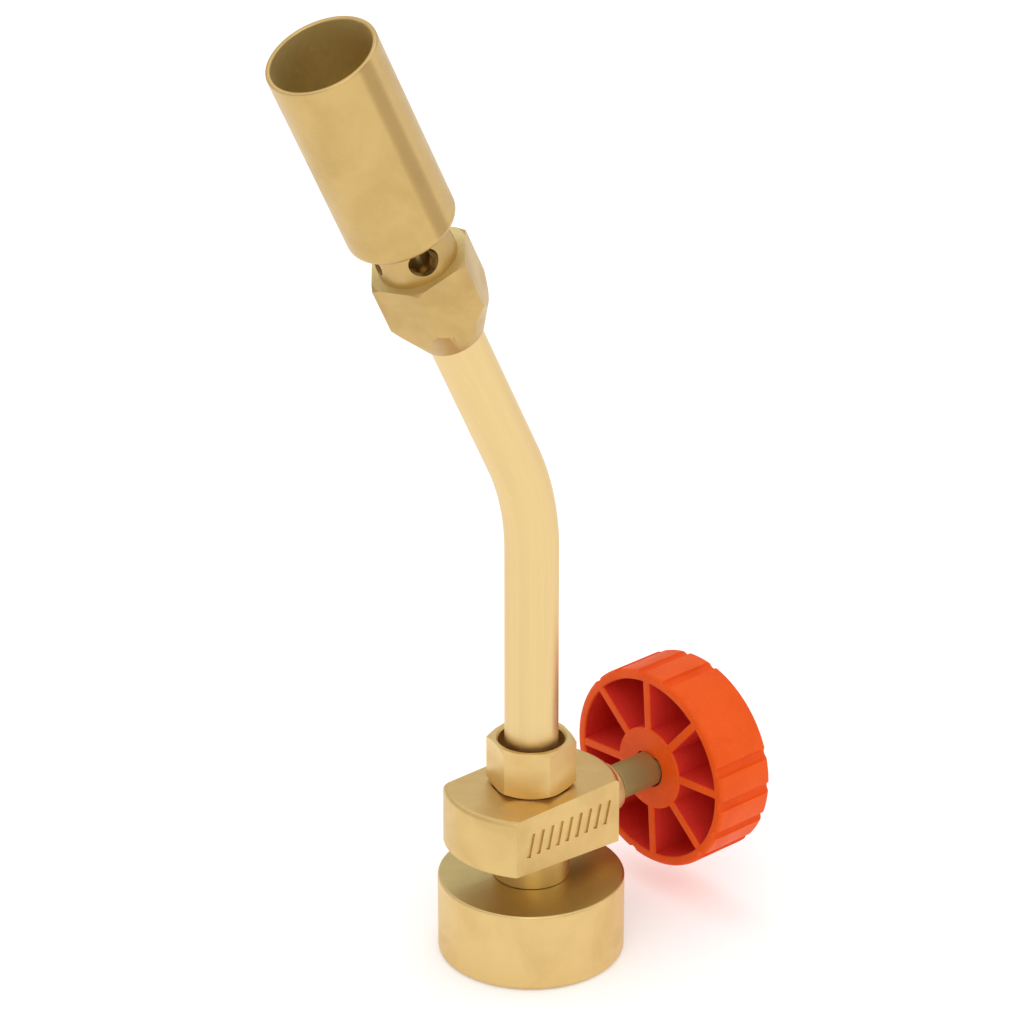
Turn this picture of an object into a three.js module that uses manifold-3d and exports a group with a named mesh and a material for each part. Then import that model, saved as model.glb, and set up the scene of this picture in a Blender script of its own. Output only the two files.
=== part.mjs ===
// Hand torch for small glass work: a threaded cylinder coupling, a needle valve with a spoked knob,
// a bent burner tube and a flame tube with air holes below it.
// Units are millimetres. +Z is up the coupling's axis and +X runs along the gas valve to its knob.
// The burner leans towards -X. Pieces of the valve and of the burner are turned about a local Z axis:
// the valve's starts on the coupling's axis, and the burner's starts where the tube's two legs cross.

import * as THREE from 'three';
import { mergeVertices } from 'three/addons/utils/BufferGeometryUtils.js';
import Module from 'manifold-3d';

const wasm = await Module();
wasm.setup();

// ---- driving dimensions ----

const GAP = 0.3;             // clearance between neighbouring pieces
const THROUGH = 1;           // how far a cutter runs past the face it leaves by
const FINE = 40;             // sides of a large round
const MEDIUM = 24;           // sides of a tube or fitting
const COARSE = 16;           // sides of a small or hidden round
const POLYGON = 8;           // sides of a tiny hole, a groove cutter or an O-ring's section
const CHAMFER = 0.4;         // turned-off edge of a screwed or turned part

const CUP = { radius: 16, height: 14.2, bore: 12.7, plate: 3.6, edge: 0.6, hole: 5.0 };
const NIPPLE = { shank: 4.7, top: 20, flangeAcross: 14, flangeLow: 7.0, flangeHigh: 9.7, probe: 3.1,
                 tip: 3.0, tipTaper: 0.8, chamfer: 0.6, gasBore: 1.6, filterBore: 3.0, filterStep: 11 };
const NIPPLE_SEAL = { outer: 7.6, low: 9.85, high: 10.45 };
const INLET_O_RING = { radius: 4.0, section: 0.75, height: 6.0 };
const DEPRESSOR = { low: 2.2, point: 0.5, radius: 0.8, taper: 0.4, head: 2.2, top: 12.3 };
const INLET_FILTER = { low: 13, high: 18 };
const FILTER_RING = { inner: 1.8, slip: 0.2, low: 18.3, high: 19.2 };
const BODY = { radius: 15.0, halfWidth: 9.3, top: 31.5, underLeft: 21.3, underRight: 19.3, edge: 0.9,
               neck: 6.5, boss: 7.8, low: 14.3 };
const NUT = { acrossFlats: 13.3, top: 40.2, corner: 11, chamfer: 0.9, spigot: 6.5, spigotLow: 29.5,
              recess: 5.7, recessFloor: 36.2, ferruleRecess: 5.85, ferruleCone: 1, ferruleTop: 31.0 };
const NUT_SOCKET = { radius: 6.75, low: 29.1, coneLow: 27.9 };
const FERRULE = { low: 28.5, high: 30.5, slip: 0.2, front: 0.25, back: 0.85, bandLow: 29.2,
                  bandHigh: 29.7 };
const TUBE = { radius: 4.57, wall: 1.1, start: 26.9, bendHeight: 84.5, bendRadius: 40, lean: 26.5,
               end: 43.2 };
const VALVE = { height: 24.2, start: -0.5, orifice: 0.9, seat: 3.0, seatCone: 1.3, chamber: 2.3,
                threadStart: 8.0, threadBore: 4.2, glandStart: 12.0, glandBore: 5.9 };
const GAS_WAY = { inlet: 1.0, inletX: 3.8, inletTop: 22.5, outlet: 1.6, outletLow: 23.4 };
const SEAT_TIP = { start: 2.5, point: 0.25, cone: 3.7, radius: 1.45, end: 4.6, tail: 0.9, tailEnd: 7.0 };
const STEM = { shaft: 3.1, nose: 2.0, noseStart: 4.9, threadRadius: 3.9, threadStart: 8.4, threadEnd: 10.4,
               end: 35.6, flat: 2.3, groove: 1.9, grooveWidth: 1.4, grooves: [13.2, 15.0],
               tipHole: 1.2, tipHoleEnd: 7.3, screwHole: 1.65, screwHoleStart: 29.6 };
const STEM_O_RING = { radius: 2.6, section: 0.55 };
const GASKET = { start: 12.2, end: 12.8 };
const BUSH = { start: 13.0, shoulder: 15.3, end: 18.2, collar: 4.4 };
const KNOB = { radius: 18.1, near: 27.6, far: 39.5, rimInner: 16.3, hub: 7.5, spokes: 8, spoke: 1.5,
               web: 35.9, turn: -4, recess: 5.2, recessFloor: 36.9, screwHole: 1.7, edge: 0.8, dish: 1.0,
               sides: 48 };
const KNOB_WASHER = { inner: 1.65, outer: 4.6, low: 37.1, high: 37.7 };
const SCREW = { start: 30.5, radius: 1.35, taper: 0.3, head: 3.1, headLow: 38.0, edge: 38.7, crown: 2.4,
                crownLow: 39.3, top: 39.4, slotLength: 3.6, slotWidth: 0.8, slotFloor: 38.6 };
// Grip grooves stand in three groups of four, 20 degrees apart, with a smooth panel between groups.
const GRIP = { groups: 3, perGroup: 4, pitch: 20, first: 72, radius: 1.0, depth: 0.9 };
const JET_HOLDER = { low: 38.3, hexLow: 45, hexHigh: 54.5, acrossFlats: 15.6, corner: -15, tailRadius: 5.3,
                     edge: 0.5, trim: 0.3, neck: 6.6, neckTop: 63.5, chamber: 5.5, chamberFloor: 50.5,
                     socketTop: 43.5, passage: 2.5 };
const JET_FILTER = { low: 43.9, high: 45.9 };
const JET_WASHER = { slip: 0.2, outer: 3.6, high: 51.4 };
const JET = { low: 46.3, hexLow: 51.7, hexHigh: 53.9, acrossFlats: 5.6, nozzleLow: 53, nozzle: 2.0,
              shoulder: 54.8, tip: 1.1, top: 57.4, gasBore: 1.3, boreEnd: 55.2, nozzleBore: 0.35,
              nozzleBoreLow: 56 };
const AIR_HOLE = { radius: 2.5, height: 58.3, count: 4, first: -113 };
const FLAME_TUBE = { radius: 9.1, wall: 0.8, low: 61.3, mouth: 97.3, lip: 0.2, shoulder: 1.4, collar: 6.9,
                     collarLow: 61.4, collarHigh: 62.3 };
const VENTURI = { low: 64.6, throat: 70, high: 79.2, inlet: 6.2, throatRadius: 3.6, outlet: 6.0, shell: 7.9,
                  chamfer: 0.8, bandHigh: 67.6, throatWall: 1.0, outletWall: 0.9, outletLow: 76.8,
                  outletBand: 77.6 };
const FLAME_HOLDER = { low: 79.6, high: 81.0, radius: 7.95, hole: 0.85, centreHole: 1.2,
                       rings: [[8, 3.2], [14, 5.9]] };

// ---- materials ----

const paint = (color, roughness, metalness) =>
  new THREE.MeshStandardMaterial({ color, roughness, metalness, flatShading: true });
const BRASS = paint(0xd9b46c, 0.32, 1);
const STEM_BRASS = paint(0xa9854a, 0.4, 1);
const ORANGE_PLASTIC = paint(0xee5a1a, 0.42, 0);
const RUBBER = paint(0x1c1b1a, 0.75, 0);
const SEAT_PLASTIC = paint(0xe9e4d6, 0.5, 0);
const SINTERED_BRONZE = paint(0x9a6a3c, 0.85, 0.8);
const STEEL = paint(0xb9bcc0, 0.35, 1);
const COPPER = paint(0xb8693f, 0.35, 1);

// ---- closed meshes and booleans ----

const degrees = THREE.MathUtils.degToRad;

// Merges shared corners, drops triangles that have shrunk to a line, and turns every face outwards.
function closed(geometry) {
  geometry.deleteAttribute('normal');
  geometry.deleteAttribute('uv');
  const merged = mergeVertices(geometry, 1e-4);
  const corners = merged.index.array;
  const kept = [];
  for (let i = 0; i < corners.length; i += 3) {
    const [a, b, c] = [corners[i], corners[i + 1], corners[i + 2]];
    if (a !== b && b !== c && c !== a) kept.push(a, b, c);
  }
  if (signedVolume(merged, kept) < 0) kept.reverse();
  merged.setIndex(kept);
  return merged;
}

function signedVolume(geometry, corners) {
  const point = [new THREE.Vector3(), new THREE.Vector3(), new THREE.Vector3()];
  let volume = 0;
  for (let i = 0; i < corners.length; i += 3) {
    point.forEach((p, k) => p.fromBufferAttribute(geometry.attributes.position, corners[i + k]));
    volume += point[0].dot(point[1].cross(point[2])) / 6;
  }
  return volume;
}

function toManifold(geometry) {
  return new wasm.Manifold(new wasm.Mesh({
    numProp: 3,
    vertProperties: Float32Array.from(geometry.attributes.position.array),
    triVerts: Uint32Array.from(geometry.index.array),
  }));
}

function toGeometry(manifold) {
  const mesh = manifold.getMesh();
  const geometry = new THREE.BufferGeometry();
  geometry.setAttribute('position', new THREE.BufferAttribute(Float32Array.from(mesh.vertProperties), 3));
  geometry.setIndex(Array.from(mesh.triVerts));
  return geometry;
}

const combine = (first, others, operation) =>
  toGeometry(others.reduce((whole, other) => whole[operation](toManifold(other)), toManifold(first)));
const cut = (first, ...others) => combine(first, others, 'subtract');
const join = (first, ...others) => combine(first, others, 'add');
const overlap = (first, ...others) => combine(first, others, 'intersect');

// ---- basic shapes, all about the local Z axis ----

// A turned solid. The profile is a list of [radius, height]; it closes on the axis or on itself.
function turned(profile, sides = MEDIUM) {
  const points = profile.map(([radius, height]) => new THREE.Vector2(radius, height));
  const onAxis = profile[0][0] === 0 && profile.at(-1)[0] === 0;
  if (!onAxis) points.push(points[0].clone());
  return closed(new THREE.LatheGeometry(points, sides).rotateX(Math.PI / 2));
}

const rod = (radius, low, high, sides = MEDIUM) =>
  turned([[0, low], [radius, low], [radius, high], [0, high]], sides);
const ring = (inner, outer, low, high, sides = MEDIUM) =>
  turned([[inner, low], [outer, low], [outer, high], [inner, high]], sides);

function extruded(shape, low, high, curveSegments = COARSE) {
  const settings = { depth: high - low, bevelEnabled: false, curveSegments };
  return closed(new THREE.ExtrudeGeometry(shape, settings).translate(0, 0, low));
}

function box(sizeX, sizeY, low, high) {
  return closed(new THREE.BoxGeometry(sizeX, sizeY, high - low).translate(0, 0, (low + high) / 2));
}

function torus(radius, section, height) {
  return closed(new THREE.TorusGeometry(radius, section, POLYGON, COARSE).translate(0, 0, height));
}

// A hexagonal bar whose corners are turned off at both ends, as on a nut.
function hexBar(acrossFlats, corner, low, high, chamfer) {
  const radius = acrossFlats / Math.sqrt(3);
  const shape = new THREE.Shape();
  for (let i = 0; i < 6; i++) {
    const angle = degrees(corner + 60 * i);
    const place = [radius * Math.cos(angle), radius * Math.sin(angle)];
    if (i === 0) shape.moveTo(...place);
    else shape.lineTo(...place);
  }
  shape.closePath();
  const lathe = turned([[0, low], [radius - chamfer, low], [radius, low + chamfer / 2],
    [radius, high - chamfer / 2], [radius - chamfer, high], [0, high]], FINE);
  return overlap(extruded(shape, low, high), lathe);
}

// A small quarter round on a turned profile, from one angle to another about its own centre.
function roundedCorner(centreRadius, centreHeight, radius, from, to, steps = 4) {
  return Array.from({ length: steps + 1 }, (_, i) => {
    const angle = degrees(THREE.MathUtils.lerp(from, to, i / steps));
    return [centreRadius + radius * Math.cos(angle), centreHeight + radius * Math.sin(angle)];
  });
}

// ---- scene graph ----

const torch = new THREE.Group();
const valve = new THREE.Group();     // local Z is the valve's axis, towards the knob
valve.position.z = VALVE.height;
valve.rotation.y = Math.PI / 2;
const burner = new THREE.Group();    // local Z is the leaning leg of the burner tube
burner.position.z = TUBE.bendHeight;
burner.rotation.y = -degrees(TUBE.lean);
torch.add(valve, burner);

function piece(group, name, material, geometry) {
  const mesh = new THREE.Mesh(geometry, material);
  mesh.name = name;
  group.add(mesh);
}

// ---- cylinder coupling and its inlet ----

function cylinderCoupling() {
  const { radius, height, bore, plate, edge, hole } = CUP;
  return turned([
    [bore + edge, 0], [radius - edge, 0], [radius, edge],
    [radius, height - edge / 2], [radius - edge / 2, height], [hole, height],
    [hole, height - plate], [bore, height - plate], [bore, edge],
  ], FINE);
}

function inletNipple() {
  const { shank, top, flangeAcross, flangeLow, flangeHigh, probe, tip, tipTaper, chamfer } = NIPPLE;
  const { gasBore, filterBore, filterStep } = NIPPLE;
  const shaft = rod(shank, flangeLow + THROUGH, top);
  const nose = turned([[0, tip], [probe - chamfer, tip], [probe, tip + tipTaper],
    [probe, flangeLow + THROUGH], [0, flangeLow + THROUGH]]);
  const flange = hexBar(flangeAcross, 0, flangeLow, flangeHigh, chamfer);
  const gasWay = rod(gasBore, tip - THROUGH, filterStep + THROUGH, COARSE);
  const filterSeat = rod(filterBore, filterStep, top + THROUGH, COARSE);
  return cut(join(flange, shaft, nose), gasWay, filterSeat);
}

function depressorPin() {
  const { low, point, radius, taper, head, top } = DEPRESSOR;
  const headLow = NIPPLE.filterStep + GAP;
  return turned([[0, low], [point, low], [radius, low + taper], [radius, headLow], [head, headLow],
    [head, top], [0, top]], COARSE);
}

piece(torch, 'cylinder_coupling', BRASS, cylinderCoupling());
piece(torch, 'inlet_nipple', BRASS, inletNipple());
piece(torch, 'nipple_seal', COPPER,
  ring(NIPPLE.shank + GAP, NIPPLE_SEAL.outer, NIPPLE_SEAL.low, NIPPLE_SEAL.high));
piece(torch, 'inlet_o_ring', RUBBER, torus(INLET_O_RING.radius, INLET_O_RING.section, INLET_O_RING.height));
piece(torch, 'depressor_pin', STEEL, depressorPin());
piece(torch, 'inlet_filter', SINTERED_BRONZE,
  rod(NIPPLE.filterBore - GAP, INLET_FILTER.low, INLET_FILTER.high, COARSE));
piece(torch, 'filter_ring', STEEL,
  ring(FILTER_RING.inner, NIPPLE.filterBore - FILTER_RING.slip, FILTER_RING.low, FILTER_RING.high, COARSE));

// ---- valve body ----

// A solid about the valve's axis, brought into the torch's frame.
function onValveAxis(geometry) {
  return geometry.rotateY(Math.PI / 2).translate(0, 0, VALVE.height);
}

// Two flats on a round column, over an underside that falls towards the knob, with a boss for the valve.
function bodyBlank() {
  const { radius, halfWidth, top, underLeft, underRight, edge, neck, boss, low } = BODY;
  const column = turned([[0, low], [radius, low], [radius, top - edge],
    [radius - 0.3 * edge, top - 0.3 * edge], [radius - edge, top], [0, top]], FINE);
  const slope = Math.atan2(underLeft - underRight, 2 * radius);
  const slab = box(3 * radius, 2 * halfWidth, 0, 2 * top).rotateY(slope)
    .translate(0, 0, (underLeft + underRight) / 2);
  const bossBar = onValveAxis(rod(boss, 0, radius + THROUGH, FINE));
  const neckBar = rod(neck, low, underLeft + THROUGH);
  return join(overlap(column, join(slab, bossBar)), neckBar);
}

function valveBody() {
  const { start, orifice, seat, seatCone, chamber, threadStart, threadBore, glandStart, glandBore } = VALVE;
  const valveBore = onValveAxis(turned([
    [0, start], [orifice, start], [orifice, seat], [chamber, seat + seatCone], [chamber, threadStart],
    [threadBore, threadStart], [threadBore, glandStart], [glandBore, glandStart],
    [glandBore, BODY.radius + THROUGH], [0, BODY.radius + THROUGH],
  ]));
  const { inlet, inletX, inletTop, outlet, outletLow } = GAS_WAY;
  const socket = TUBE.radius + GAP;
  const tubeBore = turned([
    [0, outletLow], [outlet, outletLow], [outlet, TUBE.start - GAP], [socket, TUBE.start - GAP],
    [socket, NUT_SOCKET.coneLow], [NUT_SOCKET.radius, NUT_SOCKET.low],
    [NUT_SOCKET.radius, BODY.top + THROUGH], [0, BODY.top + THROUGH],
  ]);
  const inletBore = rod(NIPPLE.shank + GAP, CUP.height - THROUGH, NIPPLE.top + GAP);
  const inletWay = rod(inlet, NIPPLE.top, inletTop, COARSE).translate(inletX, 0, 0);
  return cut(bodyBlank(), valveBore, tubeBore, inletBore, inletWay);
}

piece(torch, 'valve_body', BRASS, valveBody());

// ---- tube nut, ferrule and burner tube ----

function tubeNut() {
  const { acrossFlats, top, corner, chamfer, spigot, spigotLow, recess, recessFloor } = NUT;
  const { ferruleRecess, ferruleCone, ferruleTop } = NUT;
  const hexagon = hexBar(acrossFlats, corner, BODY.top + GAP, top, chamfer);
  const thread = rod(spigot, spigotLow, BODY.top + GAP + THROUGH);
  const bore = turned([
    [0, spigotLow - THROUGH], [ferruleRecess, spigotLow - THROUGH],
    [ferruleRecess, ferruleTop - ferruleCone],
    [TUBE.radius + GAP, ferruleTop], [TUBE.radius + GAP, recessFloor], [recess, recessFloor],
    [recess, top + THROUGH], [0, top + THROUGH],
  ]);
  return cut(join(hexagon, thread), bore);
}

function ferrule() {
  const { low, high, slip, front, back, bandLow, bandHigh } = FERRULE;
  const inner = TUBE.radius + slip;
  return turned([[inner, low], [inner + front, low], [inner + back, bandLow], [inner + back, bandHigh],
    [inner + front, high], [inner, high]]);
}

// The tube's centre line: up the coupling's axis, round an arc, and on along the leaning leg.
class BentCentreLine extends THREE.Curve {
  constructor() {
    super();
    this.lean = degrees(TUBE.lean);
    this.tangent = TUBE.bendRadius * Math.tan(this.lean / 2);
    this.rise = TUBE.bendHeight - this.tangent - TUBE.start;
    this.arc = TUBE.bendRadius * this.lean;
    this.leg = TUBE.end - this.tangent;
  }

  getPoint(t, target = new THREE.Vector3()) {
    const travelled = t * (this.rise + this.arc + this.leg);
    if (travelled <= this.rise) return target.set(0, 0, TUBE.start + travelled);
    const angle = Math.min((travelled - this.rise) / TUBE.bendRadius, this.lean);
    const beyond = Math.max(travelled - this.rise - this.arc, 0);
    return target.set(
      -TUBE.bendRadius * (1 - Math.cos(angle)) - beyond * Math.sin(angle),
      0,
      TUBE.start + this.rise + TUBE.bendRadius * Math.sin(angle) + beyond * Math.cos(angle),
    );
  }
}

function burnerTube() {
  const section = new THREE.Shape().absarc(0, 0, TUBE.radius, 0, 2 * Math.PI);
  section.holes.push(new THREE.Path().absarc(0, 0, TUBE.radius - TUBE.wall, 0, 2 * Math.PI, true));
  const settings = { steps: 18, curveSegments: 9, extrudePath: new BentCentreLine() };
  return closed(new THREE.ExtrudeGeometry(section, settings));
}

piece(torch, 'tube_nut', BRASS, tubeNut());
piece(torch, 'ferrule', BRASS, ferrule());
piece(torch, 'burner_tube', BRASS, burnerTube());

// ---- needle valve, along the valve's axis ----

function seatTip() {
  const { start, point, cone, radius, end, tail, tailEnd } = SEAT_TIP;
  return turned([[0, start], [point, start], [radius, cone], [radius, end], [tail, end], [tail, tailEnd],
    [0, tailEnd]], COARSE);
}

// The knob's end of the stem is flattened on one side, so that it drives the knob.
function valveStem() {
  const { shaft, nose, noseStart, threadRadius, threadStart, threadEnd, end } = STEM;
  const { flat, groove, grooveWidth } = STEM;
  const grooveSteps = STEM.grooves.flatMap((low) =>
    [[shaft, low], [groove, low], [groove, low + grooveWidth], [shaft, low + grooveWidth]]);
  const bar = turned([
    [0, noseStart], [nose, noseStart], [nose, threadStart], [threadRadius - CHAMFER, threadStart],
    [threadRadius, threadStart + CHAMFER], [threadRadius, threadEnd - CHAMFER],
    [threadRadius - CHAMFER, threadEnd], [shaft, threadEnd], ...grooveSteps,
    [shaft, end - CHAMFER], [shaft - CHAMFER, end], [0, end],
  ]);
  const tipHole = rod(STEM.tipHole, noseStart - THROUGH, STEM.tipHoleEnd, COARSE);
  const screwHole = rod(STEM.screwHole, STEM.screwHoleStart, end + THROUGH, COARSE);
  const flatCut = box(shaft, 3 * shaft, KNOB.near - GAP, end + THROUGH).translate(-flat - shaft / 2, 0, 0);
  return cut(bar, tipHole, screwHole, flatCut);
}

function glandBush() {
  const bore = STEM.shaft + GAP;
  const thread = VALVE.glandBore - GAP;
  return turned([
    [bore, BUSH.start], [thread, BUSH.start],
    [thread, BUSH.shoulder - CHAMFER], [thread - CHAMFER, BUSH.shoulder],
    [BUSH.collar, BUSH.shoulder], [BUSH.collar, BUSH.end - CHAMFER], [BUSH.collar - CHAMFER, BUSH.end],
    [bore, BUSH.end],
  ]);
}

piece(valve, 'seat_tip', SEAT_PLASTIC, seatTip());
piece(valve, 'valve_stem', STEM_BRASS, valveStem());
STEM.grooves.forEach((low, i) => {
  const middle = low + STEM.grooveWidth / 2;
  piece(valve, `stem_o_ring_${i + 1}`, RUBBER, torus(STEM_O_RING.radius, STEM_O_RING.section, middle));
});
piece(valve, 'gland_gasket', SEAT_PLASTIC,
  ring(STEM.shaft + GAP, VALVE.glandBore - GAP, GASKET.start, GASKET.end));
piece(valve, 'gland_bush', BRASS, glandBush());

// ---- knob ----

// One pocket between two neighbouring spokes.
function pocket() {
  const { hub, rimInner, spoke, spokes } = KNOB;
  const sector = 2 * Math.PI / spokes;
  const outerSlip = Math.asin(spoke / 2 / rimInner);
  const innerSlip = Math.asin(spoke / 2 / hub);
  return new THREE.Shape()
    .absarc(0, 0, rimInner, outerSlip, sector - outerSlip)
    .absarc(0, 0, hub, sector - innerSlip, innerSlip, true)
    .closePath();
}

function knobBlank() {
  const { radius, near, far, edge, dish, hub, rimInner } = KNOB;
  return turned([
    [0, near], ...roundedCorner(radius - edge, near + edge, edge, -90, 0, 2),
    ...roundedCorner(radius - edge, far - edge, edge, 0, 90, 2), [rimInner, far],
    [rimInner - dish, far - dish], [hub + dish, far - dish], [hub, far], [0, far],
  ], KNOB.sides);
}

function driveBore() {
  const radius = STEM.shaft + GAP;
  const flat = STEM.flat + GAP;
  const slip = Math.acos(flat / radius);
  return new THREE.Shape().absarc(0, 0, radius, slip - Math.PI, Math.PI - slip).closePath();
}

function gripGrooves() {
  const { groups, perGroup, pitch, first, radius, depth } = GRIP;
  const grooves = [];
  for (let group = 0; group < groups; group++) {
    for (let i = 0; i < perGroup; i++) {
      const angle = degrees(180 + first + pitch * i + group * 360 / groups);
      const away = KNOB.radius + radius - depth;
      grooves.push(rod(radius, KNOB.near - THROUGH, KNOB.far + THROUGH, POLYGON)
        .translate(away * Math.cos(angle), away * Math.sin(angle), 0));
    }
  }
  return grooves;
}

function knob() {
  const pockets = Array.from({ length: KNOB.spokes }, (_, i) => {
    const angle = degrees(KNOB.turn + 360 * i / KNOB.spokes);
    return extruded(pocket(), KNOB.near - THROUGH, KNOB.web, 4).rotateZ(angle);
  });
  const bore = extruded(driveBore(), KNOB.near - THROUGH, STEM.end + GAP);
  const screwHole = rod(KNOB.screwHole, STEM.end, KNOB.recessFloor + THROUGH, COARSE);
  const screwRecess = rod(KNOB.recess, KNOB.recessFloor, KNOB.far + THROUGH);
  return cut(knobBlank(), ...pockets, bore, screwHole, screwRecess, ...gripGrooves());
}

function knobScrew() {
  const { start, radius, taper, head, headLow, edge, crown, crownLow, top } = SCREW;
  const blank = turned([[0, start], [radius - taper, start], [radius, start + taper], [radius, headLow],
    [head, headLow], [head, edge], [crown, crownLow], [0, top]], COARSE);
  const slots = [0, Math.PI / 2].map((turn) =>
    box(SCREW.slotLength, SCREW.slotWidth, SCREW.slotFloor, top + THROUGH).rotateZ(turn));
  return cut(blank, ...slots);
}

piece(valve, 'knob', ORANGE_PLASTIC, knob());
piece(valve, 'knob_washer', STEEL,
  ring(KNOB_WASHER.inner, KNOB_WASHER.outer, KNOB_WASHER.low, KNOB_WASHER.high));
piece(valve, 'knob_screw', STEEL, knobScrew());

// ---- burner, along the leaning leg of the tube ----

function jetHolder() {
  const { low, hexLow, hexHigh, acrossFlats, corner, tailRadius, edge, trim } = JET_HOLDER;
  const { neck, neckTop, chamber, chamberFloor, socketTop, passage } = JET_HOLDER;
  const corners = acrossFlats / Math.sqrt(3);
  const hexagon = hexBar(acrossFlats, corner, low, hexHigh, edge);
  const taper = turned([[0, low], [tailRadius, low], [corners - trim, hexLow], [corners, hexLow + edge],
    [corners, hexHigh], [0, hexHigh]], FINE);
  const collar = rod(neck, hexHigh - THROUGH, neckTop);
  const bore = turned([
    [0, low - THROUGH], [TUBE.radius + GAP, low - THROUGH], [TUBE.radius + GAP, socketTop],
    [passage, socketTop], [passage, chamberFloor], [chamber, chamberFloor],
    [chamber, neckTop + THROUGH], [0, neckTop + THROUGH],
  ]);
  const airHoles = Array.from({ length: AIR_HOLE.count }, (_, i) =>
    rod(AIR_HOLE.radius, 0, 2 * neck, COARSE).rotateY(Math.PI / 2).translate(0, 0, AIR_HOLE.height)
      .rotateZ(degrees(AIR_HOLE.first + i * 360 / AIR_HOLE.count)));
  return cut(join(overlap(hexagon, taper), collar), bore, ...airHoles);
}

function gasJet() {
  const { low, hexLow, hexHigh, acrossFlats, nozzleLow, shoulder, tip, top } = JET;
  const { gasBore, boreEnd, nozzleBore, nozzleBoreLow } = JET;
  const head = hexBar(acrossFlats, JET_HOLDER.corner, hexLow, hexHigh, CHAMFER);
  const thread = rod(JET_HOLDER.passage - GAP, low, hexLow + THROUGH, COARSE);
  const nozzle = turned([[0, nozzleLow], [JET.nozzle, nozzleLow], [JET.nozzle, shoulder],
    [tip, top], [0, top]], COARSE);
  const gasWay = turned([[0, low - THROUGH], [gasBore, low - THROUGH], [gasBore, boreEnd],
    [nozzleBore, nozzleBoreLow], [nozzleBore, top + THROUGH], [0, top + THROUGH]], COARSE);
  return cut(join(head, thread, nozzle), gasWay);
}

function flameTube() {
  const { radius, wall, low, mouth, lip, shoulder, collar, collarLow, collarHigh } = FLAME_TUBE;
  const outer = roundedCorner(radius - shoulder, low + shoulder, shoulder, -75, 0);
  const inner = roundedCorner(radius - shoulder, low + shoulder, shoulder - wall, 0, -70);
  return turned([[collar, collarLow], ...outer, [radius, mouth - lip], [radius - lip, mouth],
    [radius - wall, mouth], ...inner, [collar, collarHigh]], FINE);
}

// A mixing tube that narrows to a throat and opens out again below the flame holder.
function venturi() {
  const { low, throat, high, inlet, throatRadius, outlet, shell, chamfer } = VENTURI;
  return turned([
    [inlet, low], [shell - chamfer, low], [shell, low + chamfer], [shell, VENTURI.bandHigh],
    [throatRadius + VENTURI.throatWall, throat], [outlet + VENTURI.outletWall, VENTURI.outletLow],
    [shell, VENTURI.outletBand], [shell, high], [outlet, high], [throatRadius, throat],
  ]);
}

function flameHolder() {
  const { low, high, radius, hole, centreHole, rings } = FLAME_HOLDER;
  const holes = [rod(centreHole, low - THROUGH, high + THROUGH, POLYGON)];
  for (const [count, away] of rings) {
    for (let i = 0; i < count; i++) {
      const angle = 2 * Math.PI * i / count;
      holes.push(rod(hole, low - THROUGH, high + THROUGH, POLYGON)
        .translate(away * Math.cos(angle), away * Math.sin(angle), 0));
    }
  }
  return cut(rod(radius, low, high), ...holes);
}

piece(burner, 'jet_holder', BRASS, jetHolder());
piece(burner, 'jet_filter', SINTERED_BRONZE,
  rod(JET_HOLDER.passage - GAP, JET_FILTER.low, JET_FILTER.high, COARSE));
piece(burner, 'jet_washer', COPPER,
  ring(JET_HOLDER.passage + JET_WASHER.slip, JET_WASHER.outer, JET_HOLDER.chamberFloor + GAP,
    JET_WASHER.high, COARSE));
piece(burner, 'gas_jet', BRASS, gasJet());
piece(burner, 'flame_tube', BRASS, flameTube());
piece(burner, 'venturi', BRASS, venturi());
piece(burner, 'flame_holder', BRASS, flameHolder());

// ---- origin: on the coupling's lower rim, midway between the flame tube's mouth and the knob ----

torch.updateMatrixWorld(true);
const outline = new THREE.Box3().setFromObject(torch, true);
torch.position.x = -(outline.min.x + outline.max.x) / 2;

export default torch;
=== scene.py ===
from math import atan2, cos, pi, radians, sin, sqrt, tan

import bpy
from mathutils import Matrix, Vector


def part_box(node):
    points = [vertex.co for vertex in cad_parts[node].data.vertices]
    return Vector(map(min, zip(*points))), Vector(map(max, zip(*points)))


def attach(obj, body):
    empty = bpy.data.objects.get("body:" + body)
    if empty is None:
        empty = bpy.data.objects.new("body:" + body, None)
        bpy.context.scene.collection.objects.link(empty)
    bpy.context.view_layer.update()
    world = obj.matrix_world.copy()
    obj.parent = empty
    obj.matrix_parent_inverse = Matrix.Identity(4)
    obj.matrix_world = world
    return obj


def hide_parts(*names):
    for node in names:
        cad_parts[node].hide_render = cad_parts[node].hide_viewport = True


# Looks of a brass hand torch: its threaded coupling, needle valve, spoked knob, bent tube and flame tube.
# Lengths are in millimetres until MM turns them into metres. Every turned piece is drawn about its own
# axis first: the coupling's, the valve's, or the leaning leg's of the burner.

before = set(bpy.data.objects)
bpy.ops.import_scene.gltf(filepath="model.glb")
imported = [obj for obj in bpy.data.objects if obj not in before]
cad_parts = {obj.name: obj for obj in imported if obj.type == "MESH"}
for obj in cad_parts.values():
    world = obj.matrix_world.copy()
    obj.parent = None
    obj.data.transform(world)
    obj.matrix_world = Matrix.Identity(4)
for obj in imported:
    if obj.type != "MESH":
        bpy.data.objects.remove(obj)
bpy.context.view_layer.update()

MM = 0.001
WELD = 0.002                 # points nearer than this become one
LOOSE_WELD = 0.004           # the same, after cuts
FLAT_CREASE = 0.6            # degrees: a flatter crease is dissolved
UPWARD = 0.9                 # a face whose normal reaches this along an axis looks along it


def span(node):
    low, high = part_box(node)
    return low / MM, high / MM


# ---- sizes, from the frame ----

cup_low, cup_high = span("cylinder_coupling")
body_low, body_high = span("valve_body")
nut_high = span("tube_nut")[1]
knob_low, knob_high = span("knob")
stem_high = span("valve_stem")[1]

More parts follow.
